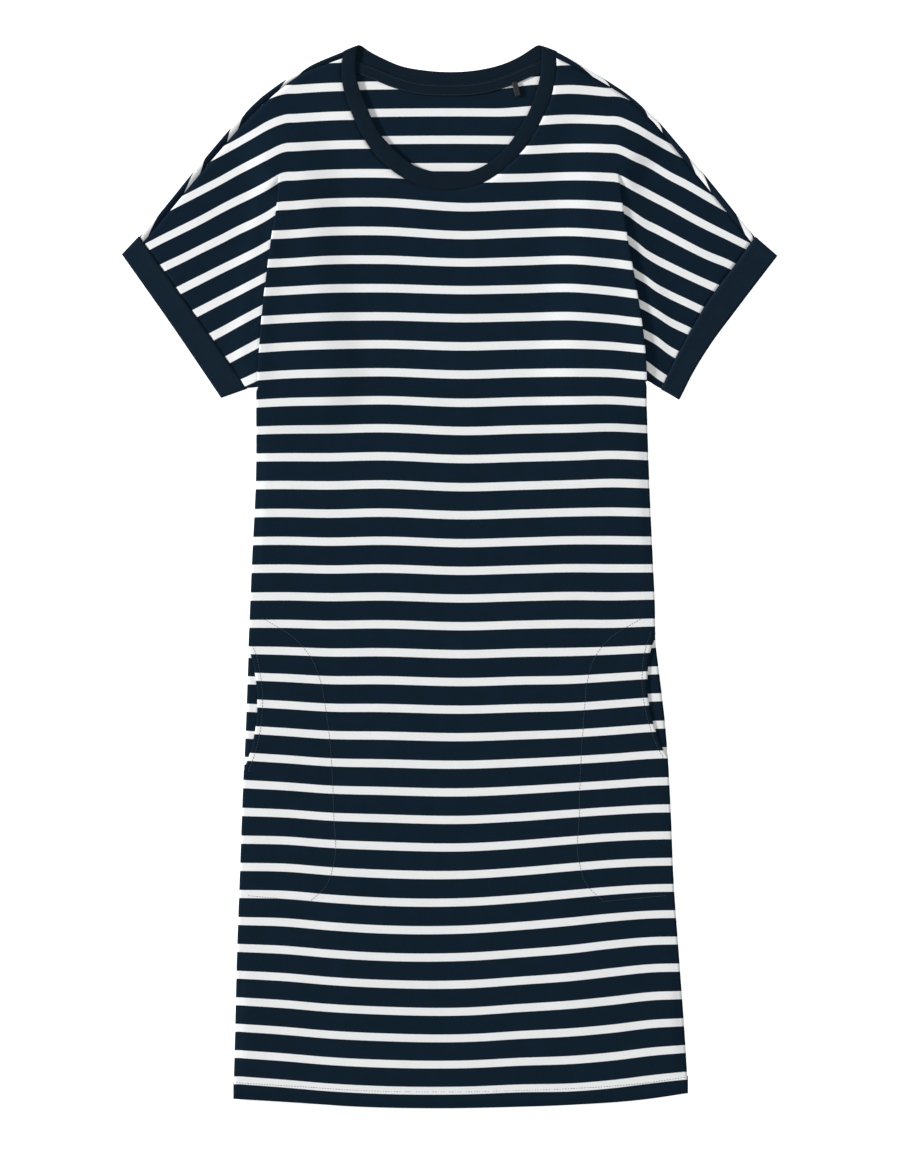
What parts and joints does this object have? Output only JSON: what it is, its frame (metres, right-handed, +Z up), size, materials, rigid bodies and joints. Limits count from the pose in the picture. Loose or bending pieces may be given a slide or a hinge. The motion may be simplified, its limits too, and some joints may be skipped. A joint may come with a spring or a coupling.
{
  "type": "nightshirt",
  "caption": "Short-sleeved striped jersey nightshirt laid flat, round banded neck, banded cuffs, curved side pocket mouths and turned-in hem.",
  "frame": {"origin": "on the surface that the garment lies on, in the middle of its outline", "axes": "+X across the garment to the right of the front as looked down on, +Y up the garment to the neck, +Z up out of the front"},
  "size_m": [0.686, 1.1147, 0.0079],
  "materials": {
    "striped_jersey": "matt knitted cotton jersey, navy with white stripes across",
    "plain_jersey": "matt plain navy jersey",
    "cuff_jersey": "matt plain navy jersey, folded double",
    "loop_tape": "smooth woven tape, near black"
  },
  "bodies": {
    "root": {"front_panel": "striped_jersey", "back_panel": "striped_jersey", "pocket_left": "striped_jersey", "pocket_right": "striped_jersey", "neckband": "plain_jersey", "neck_tape": "plain_jersey", "cuff_left": "cuff_jersey", "cuff_right": "cuff_jersey", "neck_loop": "loop_tape"}
  },
  "joints": []
}
